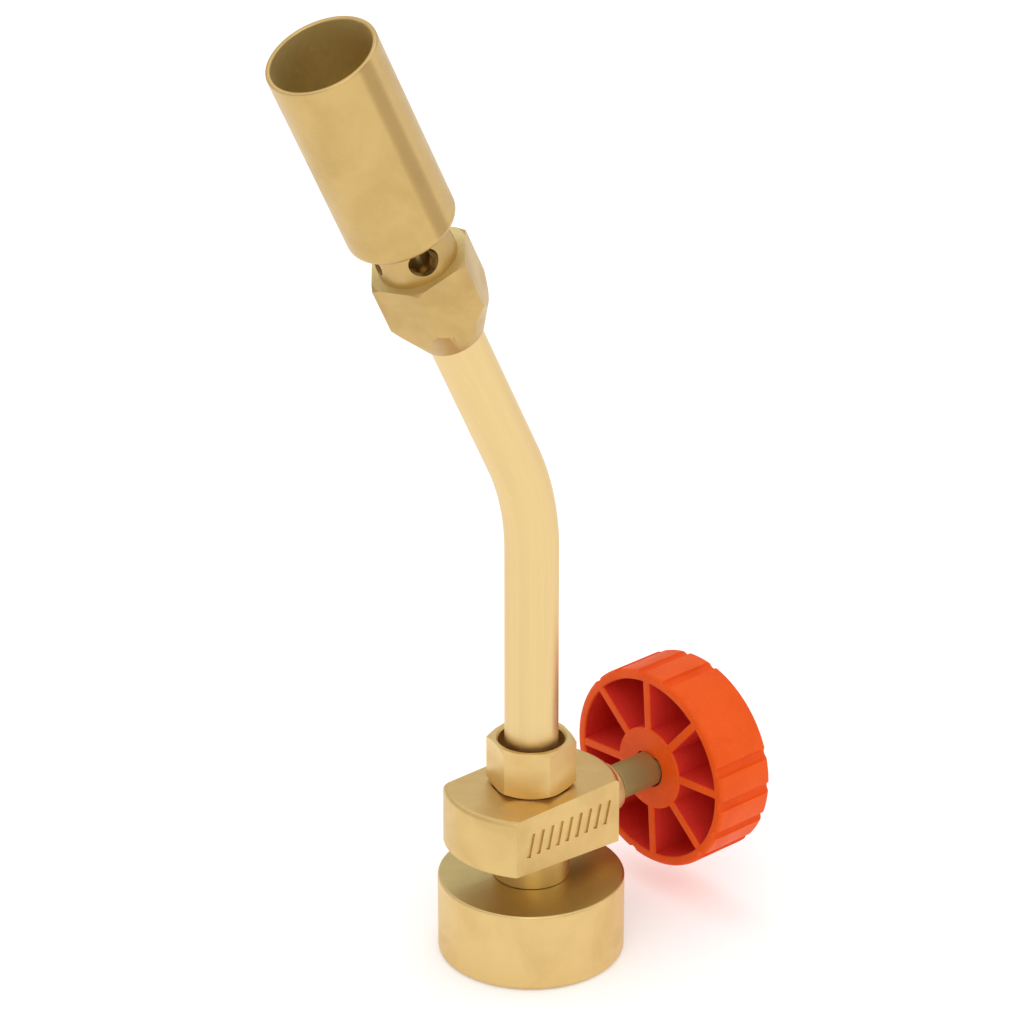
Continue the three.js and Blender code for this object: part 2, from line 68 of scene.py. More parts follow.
AXIS_X = (cup_low.x + cup_high.x) / 2
VALVE_HEIGHT = (knob_low.z + knob_high.z) / 2
LEAN = 26.5
BEND_HEIGHT = 84.5
BEND_RADIUS = 40

ROUND = 128                  # sides of a large round
SMALL_ROUND = 64             # sides of a fitting

COUPLING = Matrix.Translation((AXIS_X * MM, 0, 0))
VALVE = Matrix.Translation((AXIS_X * MM, 0, VALVE_HEIGHT * MM)) @ Matrix.Rotation(pi / 2, 4, "Y")
BURNER = Matrix.Translation((AXIS_X * MM, 0, BEND_HEIGHT * MM)) @ Matrix.Rotation(-radians(LEAN), 4, "Y")


# ---- bench tools: selecting, drawing and finishing ----

def only(obj):
    bpy.ops.object.select_all(action="DESELECT")
    obj.select_set(True)
    bpy.context.view_layer.objects.active = obj


def edit(obj, mode="FACE"):
    """Opens a piece for editing with nothing selected."""
    only(obj)
    bpy.ops.object.mode_set(mode="EDIT")
    bpy.ops.mesh.select_mode(type=mode)
    bpy.ops.mesh.select_all(action="DESELECT")


def close(obj):
    """Merges doubles, turns every face outwards and leaves edit mode."""
    bpy.ops.mesh.select_mode(type="VERT")
    bpy.ops.mesh.select_all(action="SELECT")
    bpy.ops.mesh.remove_doubles(threshold=WELD * MM)
    bpy.ops.mesh.normals_make_consistent(inside=False)
    bpy.ops.object.mode_set(mode="OBJECT")
    return obj


def start(name):
    bpy.context.object.name = name
    bpy.context.object.data.name = name
    bpy.ops.object.transform_apply(location=True, rotation=True, scale=True)
    return bpy.context.object


def turned(name, profile, sides=SMALL_ROUND, solid=True):
    """Turns a profile of (radius, height) points about Z: a solid with flat ends, or a closed ring."""
    radius, height = profile[0]
    bpy.ops.object.select_all(action="DESELECT")
    bpy.ops.mesh.primitive_circle_add(vertices=sides, radius=radius * MM, location=(0, 0, height * MM),
                                      fill_type="NGON" if solid else "NOTHING")
    obj = start(name)
    bpy.ops.object.mode_set(mode="EDIT")
    bpy.ops.mesh.select_mode(type="FACE" if solid else "EDGE")
    bpy.ops.mesh.select_all(action="SELECT")
    for next_radius, next_height in profile[1:] + ([] if solid else profile[:1]):
        rise = (0, 0, (next_height - height) * MM)
        bpy.ops.mesh.extrude_region_move(TRANSFORM_OT_translate={"value": rise})
        share = next_radius / radius
        bpy.ops.transform.resize(value=(share, share, 1), center_override=(0, 0, next_height * MM))
        radius, height = next_radius, next_height
    return close(obj)


def arc(centre_radius, centre_height, radius, start_angle, end_angle, steps=4):
    """Points of a round corner on a turned profile."""
    angles = [radians(start_angle + (end_angle - start_angle) * i / steps) for i in range(steps + 1)]
    return [(centre_radius + radius * cos(a), centre_height + radius * sin(a)) for a in angles]


def rod(name, radius, low, high, sides=SMALL_ROUND):
    return turned(name, [(radius, low), (radius, high)], sides)


def block(name, size, centre):
    bpy.ops.object.select_all(action="DESELECT")
    bpy.ops.mesh.primitive_cube_add(size=1, location=[c * MM for c in centre], scale=[s * MM for s in size])
    return start(name)


def moved(obj, matrix):
    """Moves a piece and puts its place into its mesh."""
    only(obj)
    obj.matrix_world = matrix @ obj.matrix_world
    bpy.ops.object.transform_apply(location=True, rotation=True, scale=True)
    return obj


def turned_by(obj, angle, axis="Z"):
    return moved(obj, Matrix.Rotation(radians(angle), 4, axis))


def copied(obj, name):
    only(obj)
    bpy.ops.object.duplicate(linked=False)
    bpy.context.object.name = name
    return bpy.context.object


def modified(obj, kind, **settings):
    """Adds a modifier, sets it and applies it."""
    only(obj)
    bpy.ops.object.modifier_add(type=kind)
    modifier = obj.modifiers[-1]
    for key, value in settings.items():
        setattr(modifier, key, value)
    bpy.ops.object.modifier_apply(modifier=modifier.name)
    return obj


def combined(obj, operation, *tools):
    for tool in tools:
        modified(obj, "BOOLEAN", operation=operation, object=tool, solver="EXACT")
        only(tool)
        bpy.ops.object.delete()
    return obj


def cut(obj, *tools):
    return combined(obj, "DIFFERENCE", *tools)


def joined(obj, *tools):
    return combined(obj, "UNION", *tools)


def common(obj, *tools):
    return combined(obj, "INTERSECT", *tools)


def eased(obj, width, segments=3, angle=32):
    """Rounds every edge sharper than an angle, after the cut faces' stray points are dissolved."""
    edit(obj, "EDGE")
    bpy.ops.mesh.select_all(action="SELECT")
    bpy.ops.mesh.remove_doubles(threshold=LOOSE_WELD * MM)
    bpy.ops.mesh.dissolve_limited(angle_limit=radians(FLAT_CREASE))
    close(obj)
    return modified(obj, "BEVEL", width=width * MM, segments=segments, limit_method="ANGLE",
                    angle_limit=radians(angle), use_clamp_overlap=True, miter_outer="MITER_ARC")


def smooth(obj, angle=30):
    only(obj)
    bpy.ops.object.shade_smooth_by_angle(angle=radians(angle))
    return obj


def finished(obj, body, slot, materials, *nodes):
    """Shades a piece, gives it its materials, and puts it in the place of CAD nodes."""
    smooth(obj)
    modified(obj, "WEIGHTED_NORMAL", keep_sharp=True)
    for material in materials:
        obj.data.materials.append(material)
    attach(obj, body)
    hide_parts(*nodes)
    return obj


def paint_where(obj, index, test):
    """Gives a material slot to the faces whose middle and normal pass a test."""
    for polygon in obj.data.polygons:
        if test(polygon.center / MM, polygon.normal):
            polygon.material_index = index


def hexagon(name, across_flats, corner, low, high, chamfer, both=True):
    """A hexagonal bar with its corners turned off at its ends."""
    radius = across_flats / sqrt(3)
    bar = turned(name, [(radius, low), (radius, high)], 6)
    turned_by(bar, corner - 90)
    drop = chamfer * tan(radians(30))
    profile = [(radius - chamfer, low), (radius, low + drop)] if both else [(radius, low)]
    profile += [(radius, high - drop), (radius - chamfer, high)]
    return common(bar, turned("chamfer", profile, ROUND))


# ---- materials ----

def new_group(name, inputs, outputs):
    group = bpy.data.node_groups.new(name, "ShaderNodeTree")
    for label, kind, default in inputs:
        socket = group.interface.new_socket(label, in_out="INPUT", socket_type="NodeSocket" + kind)
        if default is not None:
            socket.default_value = default
    for label, kind in outputs:
        group.interface.new_socket(label, in_out="OUTPUT", socket_type="NodeSocket" + kind)
    return group, group.nodes.new("NodeGroupInput"), group.nodes.new("NodeGroupOutput")


def wire(tree, source, target):
    tree.links.new(source, target)


def add(tree, kind, **settings):
    node = tree.nodes.new("ShaderNode" + kind)
    for key, value in settings.items():
        if key in node.inputs:
            node.inputs[key].default_value = value
        else:
            setattr(node, key, value)
    return node


def maths(tree, operation, first, second=None):
    node = add(tree, "Math", operation=operation)
    for socket, value in zip(node.inputs, (first, second)):
        if isinstance(value, bpy.types.NodeSocket):
            wire(tree, value, socket)
        elif value is not None:
            socket.default_value = value
    return node.outputs[0]


def stretch(tree, source, low, high, to_low=0.0, to_high=1.0):
    node = add(tree, "MapRange", interpolation_type="SMOOTHSTEP")
    wire(tree, source, node.inputs["Value"])
    for label, value in (("From Min", low), ("From Max", high), ("To Min", to_low), ("To Max", to_high)):
        node.inputs[label].default_value = value
    return node.outputs["Result"]


def noise(tree, vector, scale, detail=3.0, roughness=0.55):
    node = add(tree, "TexNoise", Scale=scale, Detail=detail, Roughness=roughness)
    wire(tree, vector, node.inputs["Vector"])
    return node.outputs["Fac"]


FACE_LINES = 0.83            # how close the rings lie on a face, against those along a wall
PATCH_MASK = (0.35, 0.7)     # where the noise of the handling patches starts and is full
HAIRLINE = 0.012             # half width of a scratch, as a share of its noise
SPECKLE_MASK = (0.55, 0.75)


def make_lathe_lines():
    """Fine rings round the vector's Z axis: along a wall they follow its length, on a face its radius."""
    inputs = [("Vector", "Vector", None), ("Lines per metre", "Float", 3000.0)]
    group, inside, outside = new_group("Lathe lines", inputs, [("Height", "Float")])
    parts = add(group, "SeparateXYZ")
    wire(group, inside.outputs["Vector"], parts.inputs[0])
    square = maths(group, "ADD", maths(group, "MULTIPLY", parts.outputs["X"], parts.outputs["X"]),
                   maths(group, "MULTIPLY", parts.outputs["Y"], parts.outputs["Y"]))
    radius = maths(group, "SQRT", square)
    along = maths(group, "ADD", maths(group, "MULTIPLY", radius, FACE_LINES), parts.outputs["Z"])
    lines = add(group, "TexNoise", noise_dimensions="1D", Scale=1.0, Detail=3.0, Roughness=0.7)
    wire(group, maths(group, "MULTIPLY", along, inside.outputs["Lines per metre"]), lines.inputs["W"])
    wire(group, lines.outputs["Fac"], outside.inputs["Height"])
    return group


def make_handling():
    """Soft patches left by handling, and fine hairline scratches in two directions."""
    group, inside, outside = new_group("Handling marks",
                                       [("Vector", "Vector", None), ("Patch scale", "Float", 90.0)],
                                       [("Patches", "Float"), ("Scratches", "Float")])
    patches = add(group, "TexNoise", Detail=4.0, Roughness=0.6, Distortion=0.6)
    wire(group, inside.outputs["Vector"], patches.inputs["Vector"])
    wire(group, inside.outputs["Patch scale"], patches.inputs["Scale"])
    wire(group, stretch(group, patches.outputs["Fac"], *PATCH_MASK), outside.inputs["Patches"])
    marks = None
    for turn, size in (((0.3, 0.5, 0.9), (140, 1500, 900)), ((1.1, -0.4, 2.2), (1300, 120, 1100))):
        mapping = add(group, "Mapping", Rotation=turn, Scale=size)
        wire(group, inside.outputs["Vector"], mapping.inputs["Vector"])
        line = noise(group, mapping.outputs["Vector"], 1.0, 1.0, 0.4)
        line = maths(group, "ABSOLUTE", maths(group, "SUBTRACT", line, 0.5))
        line = stretch(group, line, 0.0, HAIRLINE, 1.0, 0.0)
        marks = line if marks is None else maths(group, "MAXIMUM", marks, line)
    wire(group, marks, outside.inputs["Scratches"])
    return group


def make_grain():
    """The fine uneven skin of a pressed, cast or moulded surface."""
    group, inside, outside = new_group("Grain", [("Vector", "Vector", None), ("Scale", "Float", 1400.0)],
                                       [("Height", "Float"), ("Speckle", "Float")])
    coarse = add(group, "TexNoise", Detail=4.0, Roughness=0.65)
    fine = add(group, "TexVoronoi", feature="SMOOTH_F1", Smoothness=0.6)
    for node in (coarse, fine):
        wire(group, inside.outputs["Vector"], node.inputs["Vector"])
    wire(group, inside.outputs["Scale"], coarse.inputs["Scale"])
    finer, finer_share = 1.8, 0.35
    wire(group, maths(group, "MULTIPLY", inside.outputs["Scale"], finer), fine.inputs["Scale"])
    cells = maths(group, "MULTIPLY", fine.outputs["Distance"], finer_share)
    height = maths(group, "ADD", coarse.outputs["Fac"], cells)
    wire(group, height, outside.inputs["Height"])
    wire(group, stretch(group, coarse.outputs["Fac"], *SPECKLE_MASK), outside.inputs["Speckle"])
    return group


LATHE_LINES = make_lathe_lines()
HANDLING = make_handling()
GRAIN = make_grain()


def placed_group(tree, group, vector, **values):
    node = tree.nodes.new("ShaderNodeGroup")
    node.node_tree = group
    wire(tree, vector, node.inputs["Vector"])
    for key, value in values.items():
        node.inputs[key.replace("_", " ")].default_value = value
    return node


def axis_vector(tree, place):
    """Object coordinates, measured about an axis of the torch."""
    coordinates = add(tree, "TexCoord")
    mapping = add(tree, "Mapping", vector_type="TEXTURE")
    mapping.inputs["Location"].default_value = place.to_translation()
    mapping.inputs["Rotation"].default_value = place.to_euler()
    wire(tree, coordinates.outputs["Object"], mapping.inputs["Vector"])
    return mapping.outputs["Vector"]


def mixed(tree, share, first, second):
    node = add(tree, "Mix", data_type="RGBA")
    wire(tree, share, node.inputs[0])
    for socket, value in ((node.inputs[6], first), (node.inputs[7], second)):
        if isinstance(value, bpy.types.NodeSocket):
            wire(tree, value, socket)
        else:
            socket.default_value = (*value, 1)
    return node.outputs[2]


def bumped(tree, height, distance, strength=1.0, normal=None):
    node = add(tree, "Bump", Strength=strength, Distance=distance * MM)
    wire(tree, height, node.inputs["Height"])
    if normal is not None:
        wire(tree, normal, node.inputs["Normal"])
    return node.outputs["Normal"]


def new_material(name, metallic, **settings):
    material = bpy.data.materials.new(name)
    material.use_nodes = True
    tree = material.node_tree
    shader = tree.nodes["Principled BSDF"]
    shader.inputs["Metallic"].default_value = metallic
    for key, value in settings.items():
        shader.inputs[key.replace("_", " ")].default_value = value
    return material, tree, shader


def roughness(tree, rough, *marks):
    """Adds masks, each times its share, to a plain roughness."""
    spread = None
    for mask, share in marks:
        part = maths(tree, "MULTIPLY", mask, share)
        spread = part if spread is None else maths(tree, "ADD", spread, part)
    return maths(tree, "ADD", spread, rough)


# painted reflection: how softly a dark stripe of reflection painted along a tube fades in, and how dark it
# gets
REFLECTION_PAINT = {"edge": 0.976, "strength": 0.9}


def paint_reflection_stripe(tree, where, tint, heading, radius, dark):
    """Paints a dark stripe of reflection along a tube, on the side that a heading in degrees gives."""
    facing = add(tree, "VectorMath", operation="DOT_PRODUCT")
    wire(tree, where, facing.inputs[0])
    facing.inputs[1].default_value = (cos(radians(heading)), sin(radians(heading)), 0)
    edge, middle = radius * REFLECTION_PAINT["edge"] * MM, radius * MM
    stripe_share = stretch(tree, facing.outputs["Value"], edge, middle, 0.0, REFLECTION_PAINT["strength"])
    return mixed(tree, stripe_share, tint, dark)


# what handling patches, scratches, grain speckles and lathe lines do to each kind of surface
METAL = {"bright": 1.12, "scratch_tint": 0.25, "patch": 0.12, "scratch": 0.06, "speckle": 0.08, "line": 0.1,
         "scratch_depth": 0.004, "scratch_bump": 0.5}
PLASTIC = {"light": 0.12, "shade": 0.6, "scratch_tint": 0.2, "patch": 0.1, "speckle": 0.12,
           "scratch_depth": 0.006, "scratch_bump": 0.4}


def metal(name, place, colour, dull, rough, lines=0.0, line_depth=0.006, grain=0.0, grain_scale=1400.0,
          dark_share=0.5, vector=None, painted_reflection=None, **settings):
    """Worked metal: lathe lines or a grained skin, handling patches that dull it, hairline scratches, and
    on a drawn shell a painted dark reflection stripe along its length."""
    material, tree, shader = new_material(name, 1.0, **settings)
    where = axis_vector(tree, place) if vector is None else vector(tree)
    handling = placed_group(tree, HANDLING, where)
    patches, scratches = handling.outputs["Patches"], handling.outputs["Scratches"]
    tint = mixed(tree, maths(tree, "MULTIPLY", patches, dark_share), colour, dull)
    bright = [min(1, c * METAL["bright"]) for c in colour]
    tint = mixed(tree, maths(tree, "MULTIPLY", scratches, METAL["scratch_tint"]), tint, bright)
    # painted reflection: a dark stripe along the tube's length
    if painted_reflection:
        tint = paint_reflection_stripe(tree, where, tint, *painted_reflection)
    wire(tree, tint, shader.inputs["Base Color"])
    marks = [(patches, METAL["patch"]), (scratches, METAL["scratch"])]
    normal = None
    if grain:
        skin = placed_group(tree, GRAIN, where, Scale=grain_scale)
        normal = bumped(tree, skin.outputs["Height"], grain)
        marks.append((skin.outputs["Speckle"], METAL["speckle"]))
    if lines:
        turning = placed_group(tree, LATHE_LINES, where, Lines_per_metre=lines)
        normal = bumped(tree, turning.outputs["Height"], line_depth, normal=normal)
        marks.append((turning.outputs["Height"], METAL["line"]))
    normal = bumped(tree, scratches, METAL["scratch_depth"], METAL["scratch_bump"], normal)
    wire(tree, roughness(tree, rough, *marks), shader.inputs["Roughness"])
    wire(tree, normal, shader.inputs["Normal"])
    return material


def plastic(name, place, colour, shade, rough, grain=0.01, grain_scale=900.0, **settings):
    """Moulded plastic or rubber: a fine mould skin, faint flow shading and scuffs."""
    material, tree, shader = new_material(name, 0.0, **settings)
    where = axis_vector(tree, place)
    handling = placed_group(tree, HANDLING, where, Patch_scale=140.0)
    patches, scratches = handling.outputs["Patches"], handling.outputs["Scratches"]
    skin = placed_group(tree, GRAIN, where, Scale=grain_scale)
    tint = mixed(tree, maths(tree, "MULTIPLY", patches, PLASTIC["shade"]), colour, shade)
    light = [c + (1 - c) * PLASTIC["light"] for c in colour]
    tint = mixed(tree, maths(tree, "MULTIPLY", scratches, PLASTIC["scratch_tint"]), tint, light)
    wire(tree, tint, shader.inputs["Base Color"])
    marks = [(patches, PLASTIC["patch"]), (skin.outputs["Speckle"], PLASTIC["speckle"])]
    wire(tree, roughness(tree, rough, *marks), shader.inputs["Roughness"])
    normal = bumped(tree, skin.outputs["Height"], grain)
    normal = bumped(tree, scratches, PLASTIC["scratch_depth"], PLASTIC["scratch_bump"], normal)
    wire(tree, normal, shader.inputs["Normal"])
    return material


def lengthwise(tree):
    """Place on the drawn tube as if it were straight, from the attribute that the tube carries."""
    place = add(tree, "Attribute", attribute_name="along_tube")
    mapping = add(tree, "Mapping", Scale=(1, 1, 0.02))
    wire(tree, place.outputs["Vector"], mapping.inputs["Vector"])
    return mapping.outputs["Vector"]


BRASS = (0.75, 0.535, 0.23)
DULL_BRASS = (0.65, 0.445, 0.175)

turned_brass = metal("turned_brass", COUPLING, BRASS, DULL_BRASS, 0.3, lines=2600)
# painted shade: the cup's top face gets a darker brass that stands for the valve body's shade and dark
# reflection on it
painted_shade_face_brass = metal("turned_face_brass_painted_shade", COUPLING, (0.62, 0.48, 0.2), (0.5, 0.38, 0.15), 0.3,
                          lines=1500, line_depth=0.002, dark_share=0.4)
pressed_brass = metal("pressed_body_brass", COUPLING, (0.71, 0.5, 0.205), (0.6, 0.405, 0.155), 0.38,
                      grain=0.035, grain_scale=1100)
nut_brass = metal("nut_brass", COUPLING, (0.77, 0.55, 0.235), DULL_BRASS, 0.3, lines=2400, grain=0.006)
tube_brass = metal("drawn_tube_brass", COUPLING, (0.79, 0.59, 0.285), (0.7, 0.5, 0.22), 0.34, grain=0.014,
                   grain_scale=1600, vector=lengthwise)
holder_brass = metal("jet_holder_brass", BURNER, (0.58, 0.395, 0.155), (0.46, 0.3, 0.105), 0.28, lines=2400)
# painted reflection: the flame tube carries a dark stripe of reflection painted along it, at heading -82
# degrees
flame_brass = metal("flame_tube_brass", BURNER, (0.61, 0.42, 0.165), (0.51, 0.34, 0.12), 0.28, lines=1500,
                    line_depth=0.004, grain=0.008, painted_reflection=(-82, 9.1, (0.42, 0.27, 0.1)))
oxide_brass = metal("heat_darkened_brass", BURNER, (0.76, 0.62, 0.3), (0.63, 0.5, 0.22), 0.5, grain=0.02)
# painted shade: the stem's brass is given the darker olive-brown it shows in the shade between the valve nose
# and the knob
stem_brass = metal("stem_brass", VALVE, (0.47, 0.43, 0.18), (0.38, 0.34, 0.14), 0.46, lines=2600)
valve_brass = metal("valve_axis_brass", VALVE, BRASS, DULL_BRASS, 0.3, lines=2400)
plated_steel = metal("plated_steel", VALVE, (0.56, 0.57, 0.58), (0.42, 0.42, 0.42), 0.26, lines=2200)
soft_copper = metal("soft_copper", COUPLING, (0.72, 0.3, 0.16), (0.5, 0.2, 0.1), 0.34, grain=0.008)
sintered_bronze = metal("sintered_bronze", COUPLING, (0.38, 0.2, 0.08), (0.2, 0.1, 0.04), 0.65, grain=0.09,
                        grain_scale=2600)
orange_plastic = plastic("orange_plastic", VALVE, (0.84, 0.095, 0.004), (0.76, 0.078, 0.003), 0.42,
                         Specular_IOR_Level=0.14)
# painted shade: a deeper red for the knob's pockets, standing for the shade and inter-reflected red deep in
# them
pocket_plastic_painted_shade = plastic("orange_plastic_painted_pocket_shade", VALVE, (0.76, 0.04, 0.026), (0.68, 0.034, 0.022), 0.5,
                         Specular_IOR_Level=0.1)
seal_rubber = plastic("seal_rubber", COUPLING, (0.02, 0.02, 0.02), (0.035, 0.034, 0.033), 0.62)
seat_plastic = plastic("seat_plastic", VALVE, (0.78, 0.74, 0.66), (0.7, 0.65, 0.55), 0.45)


# ---- cylinder coupling ----

CUP = {"bore": 12.7, "plate": 3.6, "hole": 5.0, "rim": 0.7, "edge": 0.5, "chamfer": 0.3,
       "undercut": (1.2, 1.5)}
THREAD = {"pitch": 1.27, "depth": 0.7, "low": 1.2, "turns": 6, "flank": 0.42, "half_crest": 0.08,
          "root": 0.15, "steps": 96}


def thread_ridge(bore):
    """A helical ridge that stands inwards from the bore: one four-cornered section screwed round it."""
    low, pitch = THREAD["low"], THREAD["pitch"]
    crest, root = bore - THREAD["depth"], bore + THREAD["root"]
    foot, half_crest = pitch * THREAD["flank"], THREAD["half_crest"]
    bpy.ops.object.select_all(action="DESELECT")
    bpy.ops.mesh.primitive_plane_add(size=1, location=(bore * MM, 0, low * MM), rotation=(pi / 2, 0, 0))
    ridge = start("coupling_thread")
    corners = [(root, low - foot), (crest, low - half_crest), (crest, low + half_crest), (root, low + foot)]
    corners.sort(key=lambda c: atan2(c[0] - bore, c[1] - low))
    points = sorted(ridge.data.vertices, key=lambda v: atan2(v.co.x - bore * MM, v.co.z - low * MM))
    for vertex, (radius, height) in zip(points, corners):
        vertex.co = (radius * MM, 0, height * MM)
    edit(ridge)
    bpy.ops.mesh.select_all(action="SELECT")
    bpy.ops.mesh.delete(type="ONLY_FACE")
    bpy.ops.object.mode_set(mode="OBJECT")
    modified(ridge, "SCREW", axis="Z", angle=2 * pi, screw_offset=pitch * MM, iterations=THREAD["turns"],
             steps=THREAD["steps"], render_steps=THREAD["steps"], use_smooth_shade=False)
    edit(ridge, "EDGE")
    bpy.ops.mesh.select_non_manifold()
    bpy.ops.mesh.fill()
    return close(ridge)


def coupling():
    """The cup with its thread. The thread is a shell of its own, because its root is buried in the wall."""
    radius, height = (cup_high.x - cup_low.x) / 2, cup_high.z
    bore, hole, rim, edge, chamfer = (CUP[key] for key in ("bore", "hole", "rim", "edge", "chamfer"))
    ceiling = height - CUP["plate"]
    undercut_high, undercut_low = (ceiling - drop for drop in CUP["undercut"])
    profile = [(bore + rim, 0), *arc(radius - rim, rim, rim, -90, 0),
               *arc(radius - edge, height - edge, edge, 0, 90), (hole + chamfer, height),
               (hole, height - chamfer), (hole, ceiling), (bore + chamfer, ceiling),
               (bore + chamfer, undercut_high), (bore, undercut_low), (bore, rim)]
    cup = turned("coupling_cup", profile, ROUND, solid=False)
    ridge = thread_ridge(bore)
    bpy.ops.object.select_all(action="DESELECT")
    ridge.select_set(True)
    cup.select_set(True)
    bpy.context.view_layer.objects.active = cup
    bpy.ops.object.join()
    moved(cup, COUPLING)
    finished(cup, "torch", "brass", [turned_brass, painted_shade_face_brass], "cylinder_coupling")
    top_band = 0.1
    # painted shade: the upward faces at the cup's top take the darker brass of the body's shade and
    # reflection above them
    paint_where(cup, 1, lambda c, n: n.z > UPWARD and c.z > height - top_band)


NIPPLE = {"across_flats": 14, "low": 7.0, "high": 9.7, "chamfer": 0.6, "shank": 4.7, "gas_way": 1.6,
          "filter_bore": 3.0, "edge": 0.12}
PROBE = [(2.5, 3.0), (3.1, 3.8), (3.1, 6.4), (2.9, 6.6), (2.9, 8.5)]
SEAL = [(5.0, 9.85), (7.45, 9.85), (7.6, 10.0), (7.6, 10.3), (7.45, 10.45), (5.0, 10.45)]
O_RING = {"radius": 4.0, "cord": 0.75, "height": 6.0, "squeeze": 0.94}
PIN = [*arc(0.4, 2.6, 0.4, -90, 0, 3), (0.8, 11.3), (2.2, 11.3), (2.2, 12.3)]


def inlet():
    """The nipple that meets the gas cylinder, its seal and O-ring, and the pin that opens the valve."""
    low, high = NIPPLE["low"], NIPPLE["high"]
    nipple = hexagon("inlet_nipple", NIPPLE["across_flats"], 0, low, high, NIPPLE["chamfer"])
    joined(nipple, turned("probe", PROBE), rod("shank", NIPPLE["shank"], 8.5, 20))
    cut(nipple, rod("gas_way", NIPPLE["gas_way"], 2.0, 12), rod("filter_bore", NIPPLE["filter_bore"], 11, 21))
    eased(nipple, NIPPLE["edge"], 2)
    finished(moved(nipple, COUPLING), "torch", "brass", [turned_brass], "inlet_nipple")

    seal = turned("nipple_seal_ring", SEAL, solid=False)
    finished(moved(seal, COUPLING), "torch", "copper", [soft_copper], "nipple_seal")

    centre = (0, 0, O_RING["height"] * MM)
    bpy.ops.object.select_all(action="DESELECT")
    bpy.ops.mesh.primitive_torus_add(major_radius=O_RING["radius"] * MM, minor_radius=O_RING["cord"] * MM,
                                     major_segments=72, minor_segments=20, location=centre)
    ring = start("inlet_seal_ring")
    edit(ring, "VERT")
    bpy.ops.mesh.select_all(action="SELECT")
    bpy.ops.transform.resize(value=(1, 1, O_RING["squeeze"]), center_override=centre)
    finished(moved(close(ring), COUPLING), "torch", "seal_rubber", [seal_rubber], "inlet_o_ring")

    pin = turned("opening_pin", PIN, 32)
    finished(moved(pin, COUPLING), "torch", "steel", [plated_steel], "depressor_pin")


# ---- valve body ----

BODY = {"radius": 15.0, "half_width": 9.3, "under_left": 21.3, "under_right": 19.3, "boss": 7.8, "neck": 6.5,
        "edge": 0.9, "corners": 0.45, "nipple_bore": 5.0, "nipple_bore_top": 20.3}
GLAND_BORE = [(5.9, 12.0), (5.9, BODY["radius"] - 0.4), (6.5, BODY["radius"] + 0.2),
              (6.5, BODY["radius"] + 1)]
NUT_SOCKET = [(4.87, 26.6), (4.87, 27.9), (6.75, 29.1), (6.75, body_high.z + 1)]


def on_valve_axis(obj):
    """Lays an upright piece along +X at the valve's height, before it is moved on to the torch's axis."""
    turned_by(obj, 90, "Y")
    return moved(obj, Matrix.Translation((0, 0, VALVE_HEIGHT * MM)))


def valve_body():
    """A block with a sloping underside and a boss for the stem, all turned round outside, on a round neck."""
    radius, half_width, edge = BODY["radius"], BODY["half_width"], BODY["edge"]
    under_left, under_right = BODY["under_left"], BODY["under_right"]
    top, low = body_high.z, body_low.z
    column_profile = [(radius, low), *arc(radius - edge, top - edge, edge, 0, 90)]
    body = block("valve_block", (3 * radius, 2 * half_width, 2 * top), (0, 0, top))
    slope = atan2(under_left - under_right, 2 * radius)
    lifted = Matrix.Translation((0, 0, (under_left + under_right) / 2 * MM))
    moved(body, lifted @ Matrix.Rotation(slope, 4, "Y"))
    joined(body, on_valve_axis(rod("boss", BODY["boss"], 0, radius + 1, ROUND)))
    common(body, turned("column", column_profile, ROUND))
    joined(body, rod("neck", BODY["neck"], low, under_left + 1, ROUND))
    eased(body, BODY["corners"])
    gland = on_valve_axis(turned("gland_bore", GLAND_BORE))
    socket = turned("nut_socket", NUT_SOCKET)
    nipple_bore = rod("nipple_bore", BODY["nipple_bore"], low - 1, BODY["nipple_bore_top"])
    cut(body, gland, socket, nipple_bore)
    relief(body, half_width)
    moved(body, COUPLING)
    finished(body, "torch", "brass", [pressed_brass], "valve_body")


MARKS = {"left": -9.6, "right": 10.0, "low": 23.9, "high": 28.3, "depth": 0.28, "count": 9, "slant": 14,
         "share": 0.4}


def relief(body, half_width):
    """A row of shallow slanting grooves pressed into the body's flat on the -Y side."""
    pitch = (MARKS["right"] - MARKS["left"]) / MARKS["count"]
    middle = (MARKS["low"] + MARKS["high"]) / 2
    size = (pitch * MARKS["share"], 2 * MARKS["depth"], MARKS["high"] - MARKS["low"])
    groove = block("slanting_groove", size, (0, 0, 0))
    turned_by(groove, MARKS["slant"], "Y")
    grooves = [groove] + [copied(groove, f"slanting_groove_{i}") for i in range(1, MARKS["count"])]
    for i, one in enumerate(grooves):
        place = (MARKS["left"] + pitch * (i + 0.5), -half_width, middle)
        moved(one, Matrix.Translation([c * MM for c in place]))
    cut(body, *grooves)


# ---- tube nut and burner tube ----

TUBE = {"radius": 4.57, "wall": 1.1, "start": 26.9, "end": 43.2, "bend_steps": 24}
NUT = {"across_flats": 13.3, "corner": 11, "chamfer": 0.9, "spigot": 6.5, "spigot_low": 29.5, "edge": 0.2}
NUT_BORE = [(5.85, 28.5), (5.85, 30), (4.87, 31), (4.87, 36.2), (5.7, 36.2), (5.7, nut_high.z - 0.35),
            (6.05, nut_high.z + 0.02), (6.05, nut_high.z + 1)]


def tube_nut():
    low, high = body_high.z + 0.3, nut_high.z
    nut = hexagon("tube_union_nut", NUT["across_flats"], NUT["corner"], low, high, NUT["chamfer"])
    joined(nut, rod("spigot", NUT["spigot"], NUT["spigot_low"], low + 1))
    eased(nut, NUT["edge"])
    cut(nut, turned("nut_bore", NUT_BORE))
    finished(moved(nut, COUPLING), "torch", "brass", [nut_brass], "tube_nut")


